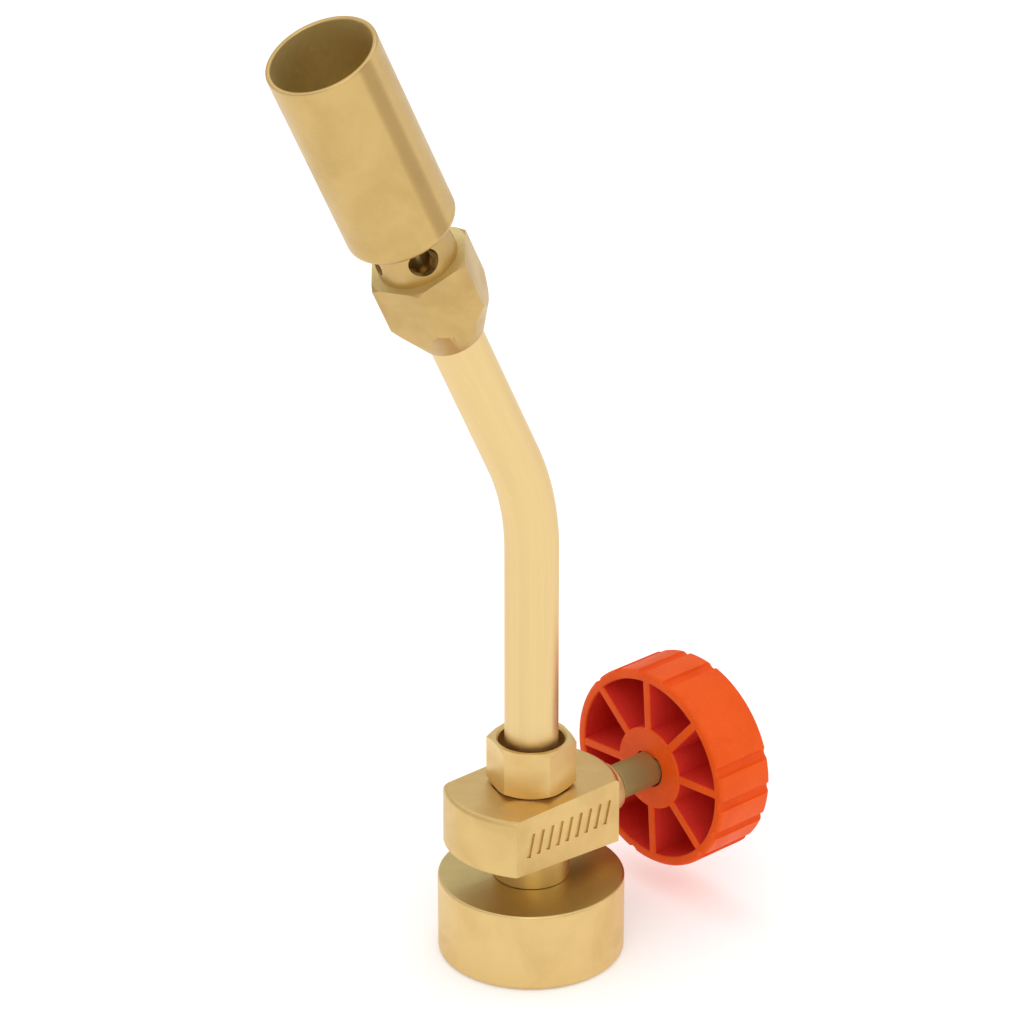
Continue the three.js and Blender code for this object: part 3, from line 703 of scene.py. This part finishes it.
def burner_tube():
    """A drawn tube: a ring of edges goes up, is spun round the bend and goes on along the leaning leg."""
    radius, start_height = TUBE["radius"], TUBE["start"]
    lean = radians(LEAN)
    tangent = BEND_RADIUS * tan(lean / 2)
    rise = BEND_HEIGHT - tangent - start_height
    leg = TUBE["end"] - tangent
    bend_low = start_height + rise
    bpy.ops.object.select_all(action="DESELECT")
    bpy.ops.mesh.primitive_circle_add(vertices=SMALL_ROUND, radius=radius * MM,
                                      location=(0, 0, start_height * MM))
    tube = start("bent_burner_tube")
    bpy.ops.object.mode_set(mode="EDIT")
    bpy.ops.mesh.select_mode(type="EDGE")
    bpy.ops.mesh.select_all(action="SELECT")
    bpy.ops.mesh.extrude_region_move(TRANSFORM_OT_translate={"value": (0, 0, rise * MM)})
    bpy.ops.mesh.spin(steps=TUBE["bend_steps"], angle=lean, center=(-BEND_RADIUS * MM, 0, bend_low * MM),
                      axis=(0, 1, 0))
    away = Vector((-sin(lean), 0, cos(lean)))
    bpy.ops.mesh.extrude_region_move(TRANSFORM_OT_translate={"value": away * leg * MM})
    close(tube)
    modified(tube, "SOLIDIFY", thickness=TUBE["wall"] * MM, offset=-1, use_even_offset=True)
    straightened = tube.data.attributes.new("along_tube", "FLOAT_VECTOR", "POINT")
    for vertex, value in zip(tube.data.vertices, straightened.data):
        x, y, z = vertex.co / MM
        angle = min(max(atan2(z - bend_low, x + BEND_RADIUS), 0), lean)
        centre = Vector((-BEND_RADIUS + BEND_RADIUS * cos(angle), 0, bend_low + BEND_RADIUS * sin(angle)))
        from_centre = Vector((x, y, z)) - centre
        aside = from_centre.dot(Vector((cos(angle), 0, sin(angle))))
        along = from_centre.dot(Vector((-sin(angle), 0, cos(angle)))) + BEND_RADIUS * angle
        value.vector = (aside * MM, y * MM, along * MM)
    moved(tube, COUPLING)
    finished(tube, "torch", "brass", [tube_brass], "burner_tube")


# ---- valve stem, gland bush and knob ----

STEM = {"shaft": 3.1, "nose": 2.0, "thread": 3.9, "pitch": 0.5, "thread_depth": 0.5, "end": 35.6}
STEM_AT = {"nose": 4.9, "thread": 8.4, "thread_end": 10.4, "grooves": (13.2, 15.0), "neck": 18.6,
           "flat": 27.3}
O_RING_GROOVE = {"radius": 1.9, "width": 1.4}
TIP_HOLE = {"radius": 1.2, "low": 3.9, "high": 7.3}
SCREW_HOLE = {"radius": 1.65, "low": 29.6}
DRIVE_FLAT = -2.3            # the flat's place off the stem's axis
BUSH = {"bore": 3.4, "thread": 5.6, "collar": 4.4, "low": 13.0, "shoulder": 15.3, "end": 18.2, "edge": 0.4}


def valve_stem():
    """The stem from its nose out: fine thread, two O-ring grooves, a neck, and the flat under the knob."""
    shaft, nose, thread, end = (STEM[key] for key in ("shaft", "nose", "thread", "end"))
    root, pitch, chamfer = thread - STEM["thread_depth"], STEM["pitch"], 0.2
    foot, low, high = STEM_AT["nose"], STEM_AT["thread"], STEM_AT["thread_end"]
    profile = [(nose - chamfer, foot), (nose, foot + chamfer), (nose, low)]
    while low < high - pitch / 2:
        profile += [(root, low), (thread, low + pitch / 2)]
        low += pitch
    profile += [(root, high), (shaft, high)]
    for groove in STEM_AT["grooves"]:
        floor_radius, top = O_RING_GROOVE["radius"], groove + O_RING_GROOVE["width"]
        profile += [(shaft, groove), (floor_radius, groove), (floor_radius, top), (shaft, top)]
    neck, step = STEM_AT["neck"], 0.15
    profile += [(shaft, neck), (shaft - step, neck + step), (shaft - step, 19.3), (shaft, 19.45)]
    profile += [(shaft, end - 0.4), (shaft - 0.4, end)]
    stem = turned("valve_spindle", profile)
    flat_low = STEM_AT["flat"]
    flat = block("flat", (shaft, 3 * shaft, end - flat_low + 1),
                 (DRIVE_FLAT - shaft / 2, 0, (flat_low + end + 1) / 2))
    tip_hole = rod("tip_hole", TIP_HOLE["radius"], TIP_HOLE["low"], TIP_HOLE["high"], 32)
    cut(stem, tip_hole, rod("screw_hole", SCREW_HOLE["radius"], SCREW_HOLE["low"], end + 1, 32), flat)
    finished(moved(stem, VALVE), "spindle", "stem_brass", [stem_brass], "valve_stem")


def gland_bush():
    bore, thread, collar, edge = (BUSH[key] for key in ("bore", "thread", "collar", "edge"))
    low, shoulder, end = BUSH["low"], BUSH["shoulder"], BUSH["end"]
    profile = [(bore, low), (thread, low), (thread, shoulder - edge), (thread - edge, shoulder),
               (collar, shoulder), *arc(collar - edge, end - edge, edge, 0, 90), (bore + edge / 2, end),
               (bore, end - edge / 2)]
    bush = turned("gland_nut", profile, solid=False)
    finished(moved(bush, VALVE), "torch", "brass", [valve_brass], "gland_bush")


KNOB = {"hub": 7.5, "rim": 16.3, "web": 35.9, "spokes": 8, "spoke": 1.5, "turn": -4, "edge": 0.8, "bore": 3.4,
        "sides": 144, "spoke_edge": 0.3, "spoke_draft": 1.25}
GRIP = {"groups": 3, "per_group": 4, "pitch": 20, "first": 72, "radius": 1.0, "depth": 0.9}
DRIVE = {"thickness": 1.4, "width": 6.6, "centre": -2.6 - 0.7}
# where the pockets' painted shade goes: a margin round hub and rim, and how far below the near rim it starts
POCKET = {"margin": 0.2, "below_rim": 0.9}
WASHER = [(1.65, 37.1), (4.45, 37.1), (4.6, 37.25), (4.6, 37.55), (4.45, 37.7), (1.65, 37.7)]
SCREW = [(1.05, 30.5), (1.35, 30.8), (1.35, 38.0), (3.1, 38.0), (3.1, 38.5), (2.85, 38.85), (2.4, 39.15),
         (1.7, 39.33), (0.9, 39.4)]
SLOT = {"length": 3.6, "width": 0.8, "height": 2, "middle": 39.6}


def knob_profile(near, far, radius):
    """Half the knob's section: its bore, hub, web, rim and outside, then the recess for the screw."""
    hub, rim, web, edge, bore = (KNOB[key] for key in ("hub", "rim", "web", "edge", "bore"))
    seat = stem_high.x - AXIS_X
    near_side = [(bore, near), *arc(hub - 0.4, near + 0.4, 0.4, -90, 0, 3), (hub, web - 0.5),
                 (hub + 0.5, web), (rim - 0.5, web), (rim, web - 0.5),
                 *arc(rim + 0.35, near + 0.35, 0.35, 180, 270, 3)]
    outside = [*arc(radius - edge, near + edge, edge, -90, 0), *arc(radius - edge, far - edge, edge, 0, 90)]
    far_side = [(rim + 0.3, far), (rim - 0.7, far - 1.0), (hub + 0.7, far - 1.0), (hub - 0.3, far)]
    recess = [(5.5, far), (5.2, far - 0.3), (5.2, 36.9), (1.7, 36.9), (1.7, seat), (bore, seat)]
    return near_side + outside + far_side + recess


def knob_spokes(near):
    """One spoke, wider at the web than at the knob's near face, and its copies round the hub."""
    hub, rim, web = KNOB["hub"], KNOB["rim"], KNOB["web"]
    spoke = block("spoke", (rim - hub + 1.4, KNOB["spoke"], web - near + 0.1),
                  ((hub + rim) / 2, 0, (near + web) / 2 + 0.15))
    edit(spoke)
    bpy.ops.object.mode_set(mode="OBJECT")
    for face in spoke.data.polygons:
        face.select = face.normal.z > UPWARD
    bpy.ops.object.mode_set(mode="EDIT")
    bpy.ops.transform.resize(value=(1, KNOB["spoke_draft"], 1),
                             center_override=((hub + rim) / 2 * MM, 0, web * MM))
    close(spoke)
    eased(spoke, KNOB["spoke_edge"])
    spokes = [spoke] + [copied(spoke, f"spoke_{i}") for i in range(1, KNOB["spokes"])]
    for i, one in enumerate(spokes):
        turned_by(one, KNOB["turn"] + 360 * i / KNOB["spokes"])
    return spokes


def grip_grooves(near, far, radius):
    """Round grooves along the knob's outside, in groups with a smooth stretch between them."""
    groove = rod("groove", GRIP["radius"], near - 1, far + 1, 24)
    moved(groove, Matrix.Translation(((radius + GRIP["radius"] - GRIP["depth"]) * MM, 0, 0)))
    angles = [180 + GRIP["first"] + GRIP["pitch"] * i + 360 * g / GRIP["groups"]
              for g in range(GRIP["groups"]) for i in range(GRIP["per_group"])]
    grooves = [copied(groove, f"groove_{i}") for i in range(len(angles))]
    for one, angle in zip(grooves, angles):
        turned_by(one, angle)
    only(groove)
    bpy.ops.object.delete()
    return grooves


def knob():
    radius = (knob_high.z - knob_low.z) / 2
    near, far, seat = knob_low.x - AXIS_X, knob_high.x - AXIS_X, stem_high.x - AXIS_X
    wheel = turned("spoked_knob", knob_profile(near, far, radius), KNOB["sides"], solid=False)
    joined(wheel, *knob_spokes(near))
    cut(wheel, *grip_grooves(near, far, radius))
    flat = block("drive_flat", (DRIVE["thickness"], DRIVE["width"], seat - near),
                 (DRIVE["centre"], 0, (near + seat) / 2))
    joined(wheel, flat)
    moved(wheel, VALVE)
    finished(wheel, "spindle", "knob_plastic", [orange_plastic, pocket_plastic_painted_shade], "knob")
    hub, rim, web, margin = KNOB["hub"], KNOB["rim"], KNOB["web"], POCKET["margin"]
    deep = AXIS_X + near + POCKET["below_rim"]

    def in_pocket(centre, normal):
        away = sqrt(centre.y ** 2 + (centre.z - VALVE_HEIGHT) ** 2)
        return hub - margin < away < rim + margin and deep < centre.x < AXIS_X + web + margin

    # painted shade: the faces in the pockets between hub and rim take the deeper red material
    paint_where(wheel, 1, in_pocket)


def knob_fixing():
    washer = turned("dished_washer", WASHER, solid=False)
    finished(moved(washer, VALVE), "spindle", "steel", [plated_steel], "knob_washer")
    screw = turned("crosshead_screw", SCREW, 48)
    length, width, height, middle = (SLOT[key] for key in ("length", "width", "height", "middle"))
    cut(screw, block("slot", (length, width, height), (0, 0, middle)),
        block("slot", (width, length, height), (0, 0, middle)))
    finished(moved(screw, VALVE), "spindle", "steel", [plated_steel], "knob_screw")


# ---- jet holder, jet, flame tube and flame holder ----

HOLDER = {"low": 38.3, "hex_low": 45, "hex_high": 54.5, "across_flats": 15.6, "corner": -15, "chamfer": 0.7,
          "edge": 0.22, "collar": 6.6, "collar_high": 63.5, "tail": 5.3}
HOLDER_BORE = [(4.87, HOLDER["low"] - 1), (4.87, 43.5), (2.5, 43.5), (2.5, 50.5), (5.5, 50.5), (5.5, 64.5)]
AIR_HOLE = {"radius": 2.5, "height": 58.3, "count": 4, "first": -113}
INSIDE = {"radius": 5.8, "above": 50}
JET = {"across_flats": 5.6, "low": 51.7, "high": 53.9, "chamfer": 0.4, "thread": 2.2, "thread_low": 46.3}
NOZZLE = [(2.0, 53.5), (2.0, 54.8), (1.1, 57.2), (0.9, 57.4)]
NOZZLE_BORE = [(1.3, 45), (1.3, 55.2), (0.35, 56), (0.35, 58.4)]


def jet_holder():
    """A hexagon with a tapered tail and a collar above it, drilled for air, and darkened by heat inside."""
    low, hex_low, hex_high = HOLDER["low"], HOLDER["hex_low"], HOLDER["hex_high"]
    corners = HOLDER["across_flats"] / sqrt(3)
    holder = hexagon("jet_holder_body", HOLDER["across_flats"], HOLDER["corner"], low, hex_high,
                     HOLDER["chamfer"], both=False)
    taper = [(HOLDER["tail"], low), (corners - 0.3, hex_low), (corners, hex_low + 0.5), (corners, hex_high)]
    common(holder, turned("taper", taper, ROUND))
    eased(holder, HOLDER["edge"])
    joined(holder, rod("collar", HOLDER["collar"], hex_high - 1, HOLDER["collar_high"], ROUND))
    cut(holder, turned("holder_bore", HOLDER_BORE))
    hole = rod("air_hole", AIR_HOLE["radius"], 3.5, 12, 48)
    turned_by(hole, 90, "Y")
    moved(hole, Matrix.Translation((0, 0, AIR_HOLE["height"] * MM)))
    holes = [hole] + [copied(hole, f"air_hole_{i}") for i in range(1, AIR_HOLE["count"])]
    for i, one in enumerate(holes):
        turned_by(one, AIR_HOLE["first"] + 360 // AIR_HOLE["count"] * i)
    cut(holder, *holes)
    finished(moved(holder, BURNER), "torch", "brass", [holder_brass, oxide_brass], "jet_holder")
    inverse = BURNER.inverted()

    def inside(centre, normal):
        point = inverse @ (centre * MM) / MM
        return sqrt(point.x ** 2 + point.y ** 2) < INSIDE["radius"] and point.z > INSIDE["above"]

    paint_where(holder, 1, inside)


def gas_jet():
    low, high = JET["low"], JET["high"]
    jet = hexagon("gas_nozzle", JET["across_flats"], HOLDER["corner"], low, high, JET["chamfer"])
    joined(jet, rod("thread", JET["thread"], JET["thread_low"], 52), turned("nozzle", NOZZLE, 48))
    cut(jet, turned("nozzle_bore", NOZZLE_BORE, 32))
    finished(moved(jet, BURNER), "torch", "brass", [holder_brass], "gas_jet")


FLAME = {"radius": 9.1, "wall": 0.8, "low": 61.3, "mouth": 97.3, "shoulder": 1.4, "collar": 6.9}


def flame_tube():
    radius, wall, low, mouth = FLAME["radius"], FLAME["wall"], FLAME["low"], FLAME["mouth"]
    shoulder, collar = FLAME["shoulder"], FLAME["collar"]
    middle = radius - shoulder
    outer = arc(middle, low + shoulder, shoulder, -75, 0, 8)
    inner = arc(middle, low + shoulder, shoulder - wall, 0, -70, 8)
    lip = [*arc(radius - 0.25, mouth - 0.25, 0.25, 0, 90, 3),
           *arc(radius - wall + 0.2, mouth - 0.2, 0.2, 90, 180, 3)]
    profile = [(collar, low + 0.1), *outer, (radius, mouth - 0.3), *lip, *inner, (collar, low + wall + 0.3)]
    tube = turned("flame_tube_shell", profile, ROUND, solid=False)
    moved(tube, BURNER)
    finished(tube, "torch", "brass", [flame_brass, oxide_brass], "flame_tube")
    inverse = BURNER.inverted()

    def inside(centre, normal):
        point = inverse @ (centre * MM) / MM
        outwards = BURNER.to_3x3().inverted() @ normal
        return point.xy.dot(outwards.xy) < 0 and point.z < mouth - 0.1

    paint_where(tube, 1, inside)


GRID = {"low": 79.6, "high": 81.0, "radius": 7.95, "edge": 0.3, "middle_hole": 1.2, "hole": 0.85}
GRID_RINGS = ((8, 3.2), (14, 5.9))          # holes in a ring, and the ring's radius


def flame_holder():
    low, high, radius, edge = (GRID[key] for key in ("low", "high", "radius", "edge"))
    profile = [(radius - edge, low), (radius, low + edge), (radius, high - edge), (radius - edge, high)]
    disc = turned("flame_grid", profile, ROUND)
    drills = [rod("drill", GRID["middle_hole"], low - 1, high + 1, 24)]
    for count, away in GRID_RINGS:
        for i in range(count):
            drill = rod("drill", GRID["hole"], low - 1, high + 1, 20)
            angle = 2 * pi * i / count
            place = (away * cos(angle) * MM, away * sin(angle) * MM, 0)
            drills.append(moved(drill, Matrix.Translation(place)))
    cut(disc, *drills)
    finished(moved(disc, BURNER), "torch", "brass", [oxide_brass], "flame_holder")


def dress_inner_parts():
    """Procedural finishes on the CAD pieces that stay as they are."""
    finishes = {"inlet_filter": sintered_bronze, "jet_filter": sintered_bronze, "filter_ring": plated_steel,
                "ferrule": turned_brass, "seat_tip": seat_plastic, "stem_o_ring_1": seal_rubber,
                "stem_o_ring_2": seal_rubber, "gland_gasket": seat_plastic, "jet_washer": soft_copper,
                "venturi": oxide_brass}
    for node, material in finishes.items():
        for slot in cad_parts[node].material_slots:
            slot.material = material


# ---- studio ----

CAMERA = {"elevation": 24.89, "azimuth": 42.2, "distance": 759, "lens": 161.7, "sensor": 36,
          "target": (AXIS_X - 2.42, 2.2, 81.95)}
FLOOR = {"size": 12, "height": -0.0002, "glow": 0.2, "pale": (0.93, 0.93, 0.93), "paler": (0.96, 0.96, 0.96)}
SOFTBOXES = (("key_softbox", (-0.45, -0.55, 0.75), 0.7, 1.7), ("fill_softbox", (0.7, -0.5, 0.5), 0.8, 0.85),
             ("top_softbox", (0.1, 0.3, 1.0), 0.9, 1.25))          # name, place, size and power
TENT = {"low": 0.64, "high": 0.83, "dim_below": -0.2, "bright_above": 0.9}


def camera():
    elevation, azimuth = radians(CAMERA["elevation"]), radians(CAMERA["azimuth"])
    back = Vector((-sin(azimuth) * cos(elevation), -cos(azimuth) * cos(elevation), sin(elevation)))
    place = (Vector(CAMERA["target"]) + back * CAMERA["distance"]) * MM
    bpy.ops.object.select_all(action="DESELECT")
    bpy.ops.object.camera_add(location=place, rotation=(-back).to_track_quat("-Z", "Y").to_euler())
    eye = bpy.context.object
    eye.data.lens = CAMERA["lens"]
    eye.data.sensor_width = CAMERA["sensor"]
    eye.data.clip_start, eye.data.clip_end = 0.01, 50
    bpy.context.scene.camera = eye


def floor():
    bpy.ops.object.select_all(action="DESELECT")
    bpy.ops.mesh.primitive_plane_add(size=FLOOR["size"], location=(0, 0, FLOOR["height"]))
    ground = start("studio_floor")
    material, tree, shader = new_material("floor_paper", 0.0, Roughness=0.9, Specular_IOR_Level=0.0,
                                          Emission_Color=(1, 1, 1, 1), Emission_Strength=FLOOR["glow"])
    where = axis_vector(tree, Matrix.Identity(4))
    tint = mixed(tree, noise(tree, where, 30), FLOOR["pale"], FLOOR["paler"])
    wire(tree, tint, shader.inputs["Base Color"])
    ground.data.materials.append(material)


def lights():
    for name, place, size, power in SOFTBOXES:
        toward = Vector((0, 0, 0.07)) - Vector(place)
        rotation = toward.to_track_quat("-Z", "Y").to_euler()
        bpy.ops.object.light_add(type="AREA", location=place, rotation=rotation)
        lamp = bpy.context.object
        lamp.name = name
        lamp.data.size = size
        lamp.data.energy = power


def surroundings():
    """A white tent that is a little dimmer near the ground than overhead."""
    world = bpy.data.worlds.new("studio")
    bpy.context.scene.world = world
    world.use_nodes = True
    tree = world.node_tree
    background = tree.nodes["Background"]
    coordinates = add(tree, "TexCoord")
    parts = add(tree, "SeparateXYZ")
    wire(tree, coordinates.outputs["Generated"], parts.inputs[0])
    rise = stretch(tree, parts.outputs["Z"], TENT["dim_below"], TENT["bright_above"], TENT["low"],
                   TENT["high"])
    wire(tree, rise, background.inputs["Strength"])
    background.inputs["Color"].default_value = (1, 1, 1, 1)
    bpy.context.scene.view_settings.view_transform = "Standard"


for make in (coupling, inlet, valve_body, tube_nut, burner_tube, gland_bush, valve_stem, knob, knob_fixing,
             jet_holder, gas_jet, flame_tube, flame_holder, dress_inner_parts, camera, floor, lights,
             surroundings):
    make()
